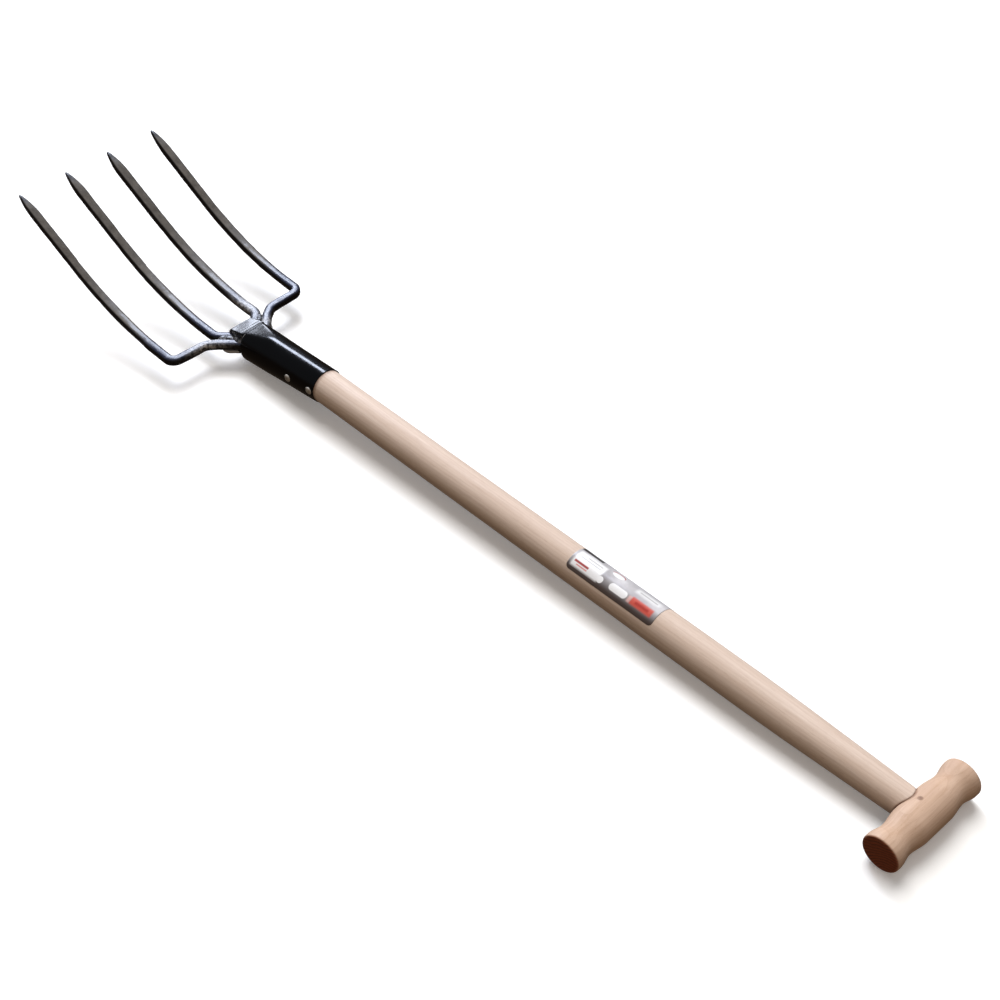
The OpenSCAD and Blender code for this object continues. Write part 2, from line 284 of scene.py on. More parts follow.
def wood(name, along, pale, mid, dark, end, heart):
    """Turned beech. along is the grain's axis, heart the tree's centre from the piece, in metres."""
    s = Shader(name, Roughness=0.5)

    def grain(with_it, across_it, detail, rough=0.5, shift=(0, 0, 0)):
        """Noise with this many features a metre along the grain and across it."""
        return s.noise(tuple(with_it if i == along else across_it for i in range(3)), detail, rough, shift)

    sep = s.node("SeparateXYZ", Vector=s.pos)
    u, v = (s.plus(sep.outputs[i], h) for i, h in zip((i for i in range(3) if i != along), heart))
    wander = grain(3.0, 26.0, 2.0)
    rings = s.math("FRACT", s.plus(s.mul(s.length(u, v), 330.0), s.mul(wander, 5.0)))  # 3 mm apart
    ring = s.span(s.math("POWER", rings, 3.0), 0.0, 1.0)
    streak = s.span(grain(9.0, 420.0, 5.0, 0.62), 0.3, 0.72)
    broad = s.span(grain(2.2, 60.0, 3.0, 0.5, (3.1, 1.2, 0.4)), 0.32, 0.7)
    fleck = s.span(grain(150.0, 1500.0, 2.0, 0.5, (0.2, 4.1, 2.0)), 0.64, 0.73)
    pores = s.span(grain(60.0, 2600.0, 1.0, 0.5, (5.0, 0.3, 1.0)), 0.62, 0.72)
    c = s.mix(broad, mid, pale)
    for mask, amount in ((streak, 0.34), (ring, 0.20), (fleck, 0.30), (pores, 0.22)):
        c = s.mix(s.mul(mask, amount), c, dark)
    rays = s.noise(700.0, 3.0, 0.6)
    sawn = s.mix(s.plus(s.mul(ring, 0.75), s.mul(rays, 0.5)), end, tint(end, 0.25, 0.25, 0.25))
    c = s.mix(s.attr("endgrain"), c, sawn)
    soil = s.mul(s.attr("soil"), s.span(s.noise(240.0, 4.0, 0.6), 0.25, 0.7, 0.5, 1.0))
    c = s.mix(soil, c, tint(dark, 0.30, 0.15, 0.09))
    h = s.plus(s.mul(streak, -0.6), s.plus(s.mul(ring, -0.3), s.mul(pores, -0.8)))
    rough = s.span(streak, 0.0, 1.0, 0.46, 0.58)
    return s.finish(c, rough, s.bump(h, 0.00012, 0.6))


def black_paint():
    """Gloss black with a slight orange peel, a little dust, and bare steel where wear is high."""
    s = Shader("black_paint_gloss", Roughness=0.16, Coat_Weight=0.15, Coat_Roughness=0.05)
    peel = s.noise(240.0, 1.0, 0.4)
    dust = s.span(s.noise(900.0, 3.0, 0.6), 0.60, 0.72)
    chips = s.noise(330.0, 5.0, 0.65, (1.0, 2.0, 3.0))
    worn = s.span(s.plus(chips, s.mul(s.attr("wear"), 0.6)), 0.80, 0.94)
    c = s.mix(s.mul(dust, 0.02), lin(3, 3, 4), lin(96, 92, 88))
    c = s.mix(worn, c, lin(150, 148, 146))
    rough = s.plus(s.span(s.noise(60.0, 4.0, 0.6), 0.3, 0.7, 0.13, 0.24), s.mul(worn, 0.25))
    return s.finish(c, rough, s.bump(s.plus(peel, s.mul(worn, -0.25)), 0.00005, 0.14))


def steel():
    """Forged bars: black lacquer, with the top faces painted lighter than the sides as a painted sheen:
    blue-grey near the roots as a painted reflection of the blue strip lights, greyish brown towards the
    points.
    """
    s = Shader("forged_steel_lacquered", Roughness=0.3, Coat_Weight=0.5, Coat_Roughness=0.18)
    top, tips, raw = s.attr("top"), s.attr("tips"), s.attr("raw")
    mottle = s.noise(120.0, 5.0, 0.6)
    fine = s.noise(900.0, 4.0, 0.6, (2.0, 0.0, 0.0))
    hammered = s.noise(260.0, 3.0, 0.55, (0.0, 3.0, 0.0))
    dark = s.mix(mottle, lin(5, 5, 6), lin(12, 11, 12))
    taupe_painted_sheen = s.mix(mottle, lin(50, 47, 44), lin(116, 109, 100))
    blue_painted_reflection = s.mix(mottle, lin(22, 24, 36), lin(60, 66, 92))
    # Painted sheen: the top mask lightens the upper faces against the black sides, blue near the roots as a
    # painted reflection and greyish brown towards the points.
    c = s.mix(top, dark, s.mix(tips, blue_painted_reflection, taupe_painted_sheen))
    specks = s.mul(s.mul(s.span(fine, 0.58, 0.70), 0.4), s.span(top, 0.0, 1.0, 0.12, 1.0))
    c = s.mix(specks, c, lin(150, 146, 140))
    c = s.mix(s.mul(s.attr("end"), 0.95), c, lin(20, 18, 18))
    patch = s.mul(raw, s.span(s.noise(300.0, 4.0, 0.6, (7.0, 0.0, 0.0)), 0.36, 0.60))
    c = s.mix(patch, c, s.mix(fine, lin(96, 98, 102), lin(226, 226, 228)))
    rough = s.plus(s.span(mottle, 0.3, 0.7, 0.22, 0.36), s.plus(s.mul(patch, 0.15), s.mul(tips, 0.12)))
    h = s.plus(s.mul(hammered, 0.7), s.plus(s.mul(fine, 0.25), s.mul(patch, 0.8)))
    return s.finish(c, rough, s.bump(h, 0.00035, 0.35))


def weld_metal():
    """Weld under black paint, with light blotches painted into its colour as glints on its ripples."""
    s = Shader("weld_metal_painted", Roughness=0.35, Metallic=0.55, Coat_Weight=0.25, Coat_Roughness=0.2)
    n = s.noise(420.0, 4.0, 0.6)
    # Painted glints: the light blotches stand in for sparkle on the weld's ripples.
    c = s.mix(s.span(n, 0.38, 0.60), lin(34, 34, 37), lin(176, 179, 186))
    return s.finish(c, s.span(n, 0.3, 0.7, 0.28, 0.45), s.bump(s.noise(1300.0, 3.0, 0.6), 0.0002, 0.4))


def bare_steel(name, a, b, rough):
    """Unpainted steel, mottled between two colours."""
    s = Shader(name, Metallic=0.35, Roughness=rough)
    n = s.noise(500.0, 5.0, 0.6)
    c = s.mix(s.span(n, 0.35, 0.65), a, b)
    shine = s.span(n, 0.3, 0.7, rough - 0.06, rough + 0.12)
    return s.finish(c, shine, s.bump(s.noise(1500.0, 3.0, 0.6), 0.00015, 0.35))


def label_film():
    """Silver film with plain shapes. along is mm towards the socket, round is mm over the top."""
    s = Shader("label_film_print", Roughness=0.38, Metallic=0.1, Coat_Weight=0.25, Coat_Roughness=0.16)
    u, v = s.attr("along"), s.attr("round")

    def block(u0, u1, v0, v1, soft=0.4):
        """1 inside the box, with edges soft millimetres wide."""
        sides = []
        for x, a, b in ((u, u0, u1), (v, v0, v1)):
            sides.append(s.mul(s.span(x, a - soft, a + soft), s.span(x, b - soft, b + soft, 1.0, 0.0)))
        return s.mul(*sides)

    def oval(cu, cv, ru, rv):
        a = s.math("DIVIDE", s.math("SUBTRACT", u, cu), ru)
        b = s.math("DIVIDE", s.math("SUBTRACT", v, cv), rv)
        return s.span(s.plus(s.mul(a, a), s.mul(b, b)), 0.92, 1.08, 1.0, 0.0)

    def pill(u0, u1, v0, v1):
        """1 inside a bar along the shaft with half-round ends."""
        r = (v1 - v0) / 2
        du = s.math("SUBTRACT", u, s.span(u, u0 + r, u1 - r, u0 + r, u1 - r))
        dv = s.math("SUBTRACT", v, (v0 + v1) / 2)
        return s.span(s.length(du, dv), r - 0.4, r + 0.4, 1.0, 0.0)

    film = s.mix(s.span(s.noise(45.0, 3.0, 0.5), 0.35, 0.65), lin(192, 189, 191), lin(232, 230, 232))
    c = s.mix(s.span(v, 3.0, 22.0), lin(104, 98, 98), film)
    for mask, color, amount in label_print(block, oval, pill):
        c = s.mix(s.mul(mask, amount), c, color)
    grain = s.noise(500.0, 3.0, 0.5)
    c = s.mix(s.mul(grain, 0.06), c, lin(120, 118, 118))
    creases = s.noise((40.0, 90.0, 90.0), 3.0, 0.5)
    return s.finish(c, s.span(grain, 0.3, 0.7, 0.3, 0.46), s.bump(creases, 0.0009, 0.4))


def label_print(block, oval, pill):
    """The plain shapes, each with its colour and strength, the lowest first."""
    red, brick, pink = lin(168, 36, 30), lin(220, 84, 64), lin(238, 190, 182)
    grey, white, dark = lin(80, 66, 60), lin(252, 252, 252), lin(34, 28, 28)
    return [
        (block(-5.0, 111.0, -5.0, 5.0, 2.4), grey, 0.92),
        (block(70.0, 103.0, 4.5, 23.0, 1.2), white, 0.95),
        (oval(68.0, 8.5, 3.4, 3.4), white, 1.0),
        (block(84.0, 101.0, 9.2, 11.4), red, 0.95),
        (block(84.0, 97.0, 6.9, 8.1), brick, 0.75),
        (block(74.0, 99.0, 15.6, 17.0), grey, 0.45),
        (block(74.0, 92.0, 18.8, 20.0), grey, 0.45),
        (block(5.5, 31.0, 6.4, 14.0, 1.0), brick, 0.9),
        (block(31.0, 34.5, 6.4, 13.0, 0.8), pink, 0.8),
        (block(10.0, 26.0, 8.8, 11.8, 0.9), red, 0.65),
        (pill(36.0, 57.0, 6.2, 13.6), white, 1.0),
        (oval(58.0, 24.4, 7.5, 3.6), red, 0.9),
        (oval(58.0, 23.4, 7.0, 3.4), white, 1.0),
        (block(80.0, 107.0, 25.5, 30.0, 0.6), dark, 0.95),
        (block(6.0, 34.0, 19.0, 26.0, 1.6), white, 0.7),
        (block(9.0, 30.0, 21.4, 22.8), grey, 0.4),
    ]


shaft_wood = wood(
    "beech_shaft", 0, lin(231, 213, 199), lin(217, 196, 179), lin(178, 148, 124), lin(170, 128, 94),
    (0.034, -0.052),
)
handle_wood = wood(
    "beech_handle", 1, lin(229, 203, 183), lin(214, 183, 158), lin(170, 128, 96), lin(158, 84, 54),
    (0.585, 0.012),
)
paint = black_paint()
forged = steel()
weld = weld_metal()
rivet_steel = bare_steel("rivet_steel", lin(150, 146, 140), lin(214, 210, 202), 0.40)
nail_steel = bare_steel("nail_steel", lin(112, 72, 50), lin(160, 116, 88), 0.6)


# ---- Wood ----


def barrel_front(p):
    """The x of the T-handle's barrel at the height of each point."""
    return np.sqrt(np.maximum(BARREL_R**2 - p[:, 2] ** 2, 0))


def make_shaft():
    """Tenon, neck, taper and straight part, then the hidden end that follows the socket."""
    n = 96
    t = circle(n)
    rings = []
    for x in (*np.linspace(-TENON, 10, 8), *np.linspace(10.4, 24, 60), *np.linspace(26, MOUTH, 330)):
        r = NECK_R + (SHAFT_R - NECK_R) * min(1, max(0, x) / TAPER)
        r = r - 0.25 * smooth(1 - abs(x - TAPER) / 30)  # the taper runs softly into the straight part
        ring = np.c_[np.full(n, x), r * np.cos(t), r * np.sin(t)]
        gap = 0.6 * smooth((barrel_front(ring) + 1.3 - x) / 0.9)
        ring[:, 1:] *= ((r - gap) / r)[:, None]
        if x < 9:
            ring[:, 1:] *= TENON_R / r
        rings.append(ring)
    for x in np.linspace(0, INSERT, 30)[1:]:
        r = INSERT_R + (INSERT_END_R - INSERT_R) * max(0, x - INSERT + INSERT_TAPER) / INSERT_TAPER
        rings.append(crank(np.c_[np.full(n, x), r * np.cos(t), r * np.sin(t)]))
    rings = capped(rings, [0.9, 0.5, 0.1])
    p = np.concatenate(rings)
    free = (p[:, 0] > 22) & (p[:, 0] < MOUTH - 1)
    p += unit(p * (0, 1, 1)) * (bumps(p * (0.12, 1, 1), 9, 3) * 0.05 * free)[:, None]
    at_mouth = smooth(1 - (MOUTH - p[:, 0]) / 5) * (p[:, 0] < MOUTH + 2) * 0.75
    at_neck = smooth(1 - (p[:, 0] - barrel_front(p)) / 2.4) * (p[:, 0] < 30) * 0.95
    soil = np.maximum(at_mouth, at_neck)
    add(
        "shaft_wood_turned", "shaft", "shaft_wood", shaft_wood, p, skin(rings),
        endgrain=np.zeros(len(p)), soil=soil,
    )


def ease(a, b, t):
    """From a to b along half a cosine wave."""
    return a + (b - a) * (1 - math.cos(math.pi * t)) / 2


def handle_radius(y):
    """The T-handle's radius this far from its middle."""
    flare = HALF - 5
    if y > HALF - RIM_R:
        return END_R - RIM_R + math.sqrt(max(0, RIM_R**2 - (y - HALF + RIM_R) ** 2))
    if y < BARREL:
        return BARREL_R
    if y < WAIST:
        return ease(BARREL_R, WAIST_R, (y - BARREL) / (WAIST - BARREL))
    if y < flare:
        return ease(WAIST_R, END_R, (y - WAIST) / (flare - WAIST))
    return END_R


def make_handle():
    """The turned T-handle, slightly uneven, with sawn ends."""
    n = 112
    side = [(y, handle_radius(y)) for y in np.linspace(0, HALF, 111)]
    cap = [0.97, 0.9, 0.8, 0.7, 0.6, 0.5, 0.4, 0.3, 0.2, 0.1, 0.03]
    rings = capped(lathe([(-y, r) for y, r in side[:0:-1]] + side, "y", n), cap)
    p = np.concatenate(rings)
    ring = np.repeat(np.arange(len(rings)), n)
    is_cap = (ring < len(cap)) | (ring >= len(rings) - len(cap))
    out = p * (1, 0, 1)
    rad = np.linalg.norm(out, axis=1)
    wave = bumps(p * (1, 0.35, 1), 16, 5, 2) * 0.14 + bumps(p * (1, 0.3, 1), 4, 8, 2) * 0.03
    p = p + unit(out) * np.where(is_cap, 0, wave - 0.1)[:, None]
    saw = bumps(p, 3.0, 2, 3) * 0.08 * is_cap * (rad < 14)
    p[:, 1] -= np.sign(p[:, 1]) * (np.abs(saw) + 0.05 * is_cap)
    cut = np.where(is_cap, 1.0, smooth((np.abs(p[:, 1]) - (HALF - 1.6)) / 1.4))
    at_shaft = smooth(1 - (np.hypot(p[:, 1], p[:, 2]) - NECK_R - 0.4) / 0.9) * (p[:, 0] > 5) * 0.7
    at_nail = smooth(1 - (np.hypot(p[:, 0] - 5.0, p[:, 1]) - 1.8) / 1.0) * (p[:, 2] > 10) * 0.7
    soil = np.maximum(at_shaft, at_nail)
    add(
        "t_handle_turned", "t_handle", "handle_wood", handle_wood, p, skin(rings),
        endgrain=cut, soil=soil,
    )


def make_nail():
    """The nail through handle and tenon, leaning a little, with its head just proud of the wood."""
    low, lean = 12.0, math.radians(16)
    profile = [
        (0.0, 1.4), (28.0, 1.4), (28.9, 1.5), (29.0, 1.6), (29.2, 1.78),
        (29.7, 1.8), (29.9, 1.65), (29.85, 1.1), (29.8, 0.6),
    ]
    rings = capped(lathe(profile, "x", 32), [0.6, 0.2], shift=(-0.05, 0, 0))
    h, x, y = np.concatenate(rings).T
    h = h - low
    p = np.c_[x * math.cos(lean) + h * math.sin(lean), y, -x * math.sin(lean) + h * math.cos(lean)]
    add("handle_nail_head", "handle_nail", "nail_steel", nail_steel, p, skin(rings))


# ---- Socket ----


def slope(x):
    """Height of the socket's top ahead of its cut: down to the ridge, then gently to the tip."""
    x = np.asarray(x, float)
    back = TOP_CUT[1] + (TOP_CUT[0] - x) * (TOP_CUT[1] - RIDGE[1]) / (RIDGE[0] - TOP_CUT[0])
    front = RIDGE[1] + (x - RIDGE[0]) * (TIP_Z - RIDGE[1]) / (HEEL + NOSE - RIDGE[0])
    return np.where(x < RIDGE[0], back, front)


def soft_min(a, b, k):
    """The lower of two heights, rounded over about k mm where they cross."""
    h = np.clip(0.5 + 0.5 * (b - a) / k, 0, 1)
    return b + (a - b) * h - k * h * (1 - h)


def tube_rings(r0, r1, us, n):
    """Rings of the socket's cone at shares us of its length. The first is square to the shaft."""
    t = circle(n)
    rings = []
    for u in us:
        r = r0 + (r1 - r0) * u
        y, w = r * np.cos(t), r * np.sin(t)
        start = -w * math.tan(CRANK)
        rings.append(crank(np.c_[start + (SOCKET - start) * u, y, w]))
    return rings


def make_socket():
    """One shell of bore, mouth, cone and rounded heel, cut to the slope, with the nose and the lip."""
    n = 160
    t = circle(n)
    lip_r, bore_r = SOCKET_R - 0.5, INSERT_R + 0.3
    rings = tube_rings(INSERT_R + 0.05, HEEL_R - SHEET, np.linspace(0.8, 0.006, 60), n)
    rings += tube_rings(bore_r, bore_r, [0.0], n) + tube_rings(lip_r, lip_r, [0.0], n)
    rings += tube_rings(SOCKET_R - 0.15, SOCKET_R - 0.15, [0.0015], n)
    rings += tube_rings(SOCKET_R, HEEL_R, np.linspace(0.006, 1 - HEEL_EDGE / SOCKET, 130), n)
    for a in np.radians([12, 24, 36, 48, 60, 72, 84, 90]):
        r = HEEL_R - HEEL_EDGE * (1 - math.cos(a))
        s = SOCKET - HEEL_EDGE * (1 - math.sin(a))
        rings.append(crank(np.c_[np.full(n, s), r * np.cos(t), r * np.sin(t)]))
    rings = capped(rings, [0.96, 0.85, 0.65, 0.4, 0.15], [0.6, 0.1])
    p = np.concatenate(rings)
    drop = (p[:, 0] - MOUTH) * math.tan(CRANK)
    shell = np.hypot(p[:, 1], p[:, 2] + drop) > 15
    sloped = soft_min(p[:, 2], slope(np.minimum(p[:, 0], HEEL)), 1.6)
    p[:, 2] = np.where(shell | (p[:, 0] > HEEL - 12), sloped, p[:, 2])
    under = (p[:, 2] < -8) & shell & (p[:, 0] < HEEL - 4)
    p[:, 2] += np.exp(-((p[:, 1] / 0.8) ** 2)) * under * 0.7  # the groove where the sheet's edges meet
    out = unit(p * (0, 1, 1) + np.outer(drop, (0, 0, 1)))
    dents = bumps(p * (0.5, 1, 1), 22, 11, 2) * 0.16 + bumps(p, 7, 4, 2) * 0.03 - 0.12
    p += out * (dents * (shell & (p[:, 0] > MOUTH + 0.4)))[:, None]
    at_side = np.abs(p[:, 1]) > 12
    at_mouth = smooth(1 - (p[:, 0] - MOUTH) / 1.0) * 0.35
    at_heel = 0.5 * smooth(1 - np.abs(p[:, 0] - HEEL + 1) / 3.0) * (p[:, 2] > -6) * at_side
    wear = np.maximum(at_mouth, at_heel)
    for x, z, _ in RIVETS.values():
        d = np.hypot(p[:, 0] - MOUTH - x, p[:, 2] - z)
        wear = np.maximum(wear, smooth(1 - (d - RIVET_HEAD_R - 0.12) / 1.2) * at_side * 0.4)
    points, faces, wears, total = [p], skin(rings), [wear], len(p)
    for q, q_rings, q_wear in (nose_mesh(), lip_mesh()):
        points.append(q)
        faces += skin(q_rings, total)
        wears.append(q_wear)
        total += len(q)
    add(
        "socket_pressed", "socket", "black_paint", paint, np.concatenate(points), faces,
        wear=np.concatenate(wears),
    )


def rounded_box(half, lo, hi, r_top, r_low):
    """Section of a plate in y-z, counter-clockwise from the lower right, dense on its long sides."""
    points = []
    for cy, cz, r, a0 in (
        (1, lo, r_low, -90), (1, hi, r_top, 0), (-1, hi, r_top, 90), (-1, lo, r_low, 180),
    ):
        inward = 1 if cz == lo else -1
        for i in range(12):
            a = math.radians(a0 + 90 * i / 11)
            points.append((cy * half - cy * r + r * math.cos(a), cz + inward * r + r * math.sin(a)))
    dense = []
    for a, b in zip(points, points[1:] + points[:1]):
        dense.append(a)
        if math.dist(a, b) > 2.5:
            k = 14 if abs(a[1] - b[1]) < 0.5 else 4
            dense += [(a[0] + (b[0] - a[0]) * j / k, a[1] + (b[1] - a[1]) * j / k) for j in range(1, k)]
    return np.array(dense)


def distances(line):
    """Distance along a line at each of its points."""
    return np.r_[0, np.cumsum(np.linalg.norm(np.diff(line, axis=0), axis=1))]


def resampled(line, count):
    """The line with this many evenly spaced points."""
    d = distances(line)
    s = np.linspace(0, d[-1], count)
    return np.c_[np.interp(s, d, line[:, 0]), np.interp(s, d, line[:, 1])]


def loft(stations):
    """Rings of 120 points from (x, half width, low, high, top radius, low radius)."""
    rings = []
    for x, *box in stations:
        outline = rounded_box(*box)
        rings.append(np.c_[np.full(120, x), resampled(np.r_[outline, outline[:1]], 121)[:-1]])
    return rings


def nose_mesh():
    """The flattened nose, from just inside the heel to its rounded front edge."""
    front, lo = HEEL + NOSE - 1.6, BAR_BOTTOM + 0.2
    stations = []
    for x in (*np.linspace(HEEL - 8, HEEL - 3, 8), *np.linspace(HEEL - 2.5, front, 40)):
        back = float(smooth((HEEL - 2.6 - x) / 5))
        near = float(smooth((HEEL + 3 - x) / 5))
        hi = float(slope(x)) - 0.15 * math.exp(-(((x - RIDGE[0]) / 1.5) ** 2)) - 2.4 * back
        narrower = 0.3 + 0.6 * float(smooth((x - HEEL - 12) / 12)) + 0.9 * near + 3.0 * back
        stations.append((x, NOSE_W / 2 - narrower, lo, hi, min(3.0 + 2.4 * near, (hi - lo) / 2.1), 0.8))
    x0, half0, _, hi0, r0, _ = stations[-1]
    for a in np.radians([20, 40, 60, 75, 88]):
        d = 1.6 * (1 - math.cos(a))
        edge = (half0 - d * 0.6, lo + d * 0.3, hi0 - d, max(0.6, r0 - d), 0.7)
        stations.append((x0 + 1.6 * math.sin(a), *edge))
    rings = capped(loft(stations), [0.8, 0.3])
    p = np.concatenate(rings)
    p[:, 2] -= (0.06 + 0.08 * bumps(p, 15, 21, 2)) * smooth((p[:, 2] + 4) / 4)
    at_front = smooth((p[:, 0] - (HEEL + NOSE - 2.5)) / 2)
    at_side = smooth((np.abs(p[:, 1]) - 14.0) / 1.8)
    return p, rings, np.clip(0.6 * at_front + 0.5 * at_side, 0, 1)


def lip_mesh():
    """The lower lip: a plate with rounded edges that spreads under the roots of the arms."""
    side = [
        (-3.8, 0), (-3.8, 16), (-3, 19), (2, 23.8), (7, 28.8), (10.5, 31), (14, 31.8),
        (18, 31), (20, 28.5), (20, 25), (18.5, 20), (17, 16), (16.8, 0),
    ]
    outline = np.array(side + [(x, -y) for x, y in side[-2::-1]])
    edge = resampled(outline, 181)[:-1]
    for _ in range(6):
        edge = (edge + np.roll(edge, 1, 0) + np.roll(edge, -1, 0)) / 3
    way = unit(np.roll(edge, -1, 0) - np.roll(edge, 1, 0))
    inward = np.c_[way[:, 1], -way[:, 0]]
    rings = []
    for inset, drop in (
        (1.4, 0.0), (0.5, 0.02), (0.12, 0.35), (0.0, 1.0),
        (0.05, 1.9), (0.35, 2.6), (1.0, 3.05), (2.0, 3.15),
    ):
        q = edge + inward * inset
        rings.append(np.c_[q[:, 0] + HEEL, q[:, 1], np.full(len(q), BAR_BOTTOM + 0.1 - drop)])
    rings = capped(rings, [0.85, 0.6, 0.25])
    p = np.concatenate(rings)
    p[:, 2] += 0.12 * bumps(p, 6, 17, 3)
    return p, rings, 1.2 * smooth((np.abs(p[:, 1]) - 19) / 5)


def make_rivet(name, x, z, seed):
    """A pin through the socket with a hammered dome at each end."""
    r = SOCKET_R + (HEEL_R - SOCKET_R) * x / SOCKET
    profile = [(0.0, 2.25), (r - 0.9, 2.25), (r - 0.85, 4.1), (r - 0.2, 4.25)]
    for a in np.radians(np.linspace(6, 84, 11)):
        profile.append((r - 0.25 + 1.9 * math.sin(a) ** 0.9, RIVET_HEAD_R * math.cos(a) ** 0.8))
    rings = capped(lathe([(-y, q) for y, q in profile[:0:-1]] + profile, "y", 40), [0.5, 0.1])
    p = np.concatenate(rings)
    side = np.sign(p[:, 1])
    head = np.abs(p[:, 1]) > r - 0.6
    hammered = bumps(p + side[:, None] * 7, 2.6, seed, 3) * 0.16 * head
    p += hammered[:, None] * np.c_[np.full(len(p), 0.6), side, np.full(len(p), 0.6)]
    p[:, 1] -= 0.16 * head * side
    p += (MOUTH + x, 0, z)
    add(name + "_hammered", name, "bare_steel", rivet_steel, p, skin(rings))


# ---- Tines ----


def side_z(x):
    """Height of a tine's centre line: level, then the arc of the bend, then the straight blade."""
    x = np.asarray(x, float)
    along = np.clip(x - BEND_X, 0, BEND_R * 0.9)
    arc = BAR_Z + BEND_R - np.sqrt(np.maximum(BEND_R**2 - along**2, 0))
    return np.where(x < BLADE_X, arc, BLADE_Z + (x - BLADE_X) * math.tan(BEND))


def side_angle(x):
    """How steeply a tine rises at each x."""
    return np.arcsin(np.clip((np.asarray(x, float) - BEND_X) / BEND_R, 0, math.sin(BEND)))


def corner(a, b, c, r, steps=9):
    """The arc that rounds the corner at b between a and c."""
    a, b, c = (np.asarray(q, float) for q in (a, b, c))
    u, v = (a - b) / np.linalg.norm(a - b), (c - b) / np.linalg.norm(c - b)
    half = math.acos(float(u @ v)) / 2
    centre = b + (u + v) / np.linalg.norm(u + v) * r / math.sin(half)
    f, g = b + u * r / math.tan(half) - centre, b + v * r / math.tan(half) - centre
    turn = np.sign(f[0] * g[1] - f[1] * g[0]) * (math.pi - 2 * half)
    out = []
    for t in np.linspace(0, turn, steps + 1):
        cos, sin = math.cos(t), math.sin(t)
        out.append(centre + (f[0] * cos - f[1] * sin, f[0] * sin + f[1] * cos))
    return out


def plan(points, radii, step=1.3):
    """A tine's centre line from above, with its corners rounded to these radii."""
    path = [np.asarray(points[0], float)]
    for i, r in enumerate(radii):
        path += corner(*points[i:i + 3], r)
    path = np.array(path + [np.asarray(points[-1], float)])
    return resampled(path, int(distances(path)[-1] / step))


ROOT_IN = (BAR_W + 0.3) / 2
ROOT_OUT = ROOT_IN + BAR_W + 0.3
OUTER = plan(
    [
        (HEEL - 20, ROOT_OUT), (HEEL + 2, ROOT_OUT + 0.6), (HEEL + 21, 33), (ARM_X - 1.5, 44),
        (ARM_X, OUTER_Y), (TIP[0], OUTER_Y + SPLAY),
    ],
    [14, 14, 14, 9],
)
INNER = plan(
    [
        (HEEL - 20, ROOT_IN), (HEEL + 2, ROOT_IN + 0.6), (HEEL + 17, 12.5), (ARM_X + 2, INNER_Y),
        (TIP[0], INNER_Y + 0.2),
    ],
    [14, 28, 14],
)


def taper(half, left):
    """Half a bar's thickness where this much of its length is left."""
    rise = np.sin(math.pi / 2 * np.clip(left, 0, POINT) / POINT) ** 0.72
    return np.where(left >= POINT, half, POINT_R + (half - POINT_R) * rise)


def section(w, h, r):
    """A square section with rounded corners, counter-clockwise: 44 places across and up."""
    points = []
    share = np.array((2, 1, 0, -1, -2)) / 3
    for cx, cy, a0 in ((1, -1, -90), (1, 1, 0), (-1, 1, 90), (-1, -1, 180)):
        a = np.radians(a0 + 18.0 * np.arange(6))
        points.append(np.c_[cx * (w - r) + r * np.cos(a), cy * (h - r) + r * np.sin(a)])
        upright = cx != cy
        flat_w, flat_h = (np.full(5, w), (h - r) * share) if upright else ((w - r) * share, np.full(5, h))
        points.append(np.c_[cx * flat_w, cy * flat_h])
    return np.concatenate(points).T


